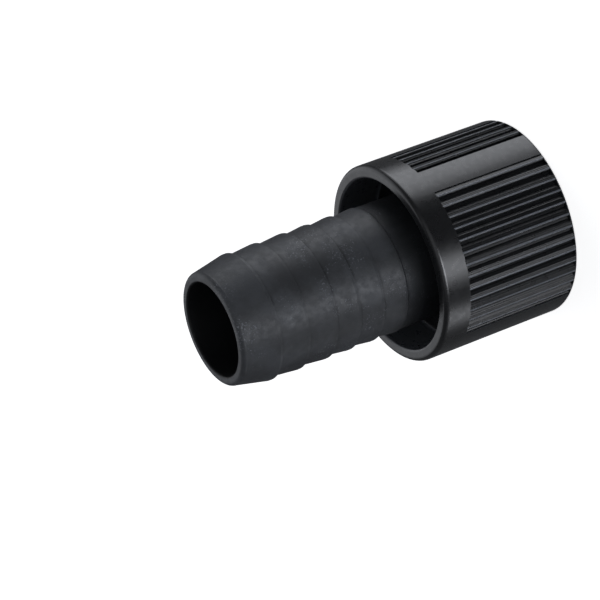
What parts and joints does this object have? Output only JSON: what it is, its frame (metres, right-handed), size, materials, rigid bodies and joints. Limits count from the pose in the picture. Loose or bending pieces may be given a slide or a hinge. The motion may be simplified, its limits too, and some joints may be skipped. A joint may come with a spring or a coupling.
{
  "type": "suction hose adapter",
  "caption": "Straight hose connector: a barbed hose tail with a round water way, held by its collar in a ribbed union nut that has an internal pipe thread and a flat seal.",
  "frame": {"origin": "centre of the nut's open end face, on the common axis, at the level that the part stands on", "axes": "+Z along the axis from the nut's open, threaded end to the tip of the hose tail; +X through one of the nut's two wide smooth panels"},
  "size_m": [0.0414, 0.0414, 0.073],
  "materials": {
    "hose_tail": "satin moulded near-black plastic",
    "union_nut": "smooth near-black plastic with a soft gloss",
    "flat_seal": "plain black rubber"
  },
  "bodies": {
    "nut": {"union_nut": "union_nut", "flat_seal": "flat_seal"},
    "tail": {"hose_tail": "hose_tail"}
  },
  "joints": [
    {"name": "tail_swivel", "type": "hinge", "parent": "nut", "child": "tail", "pos_m": [0, 0, 0.016], "axis": [0, 0, 1], "continuous": true}
  ]
}
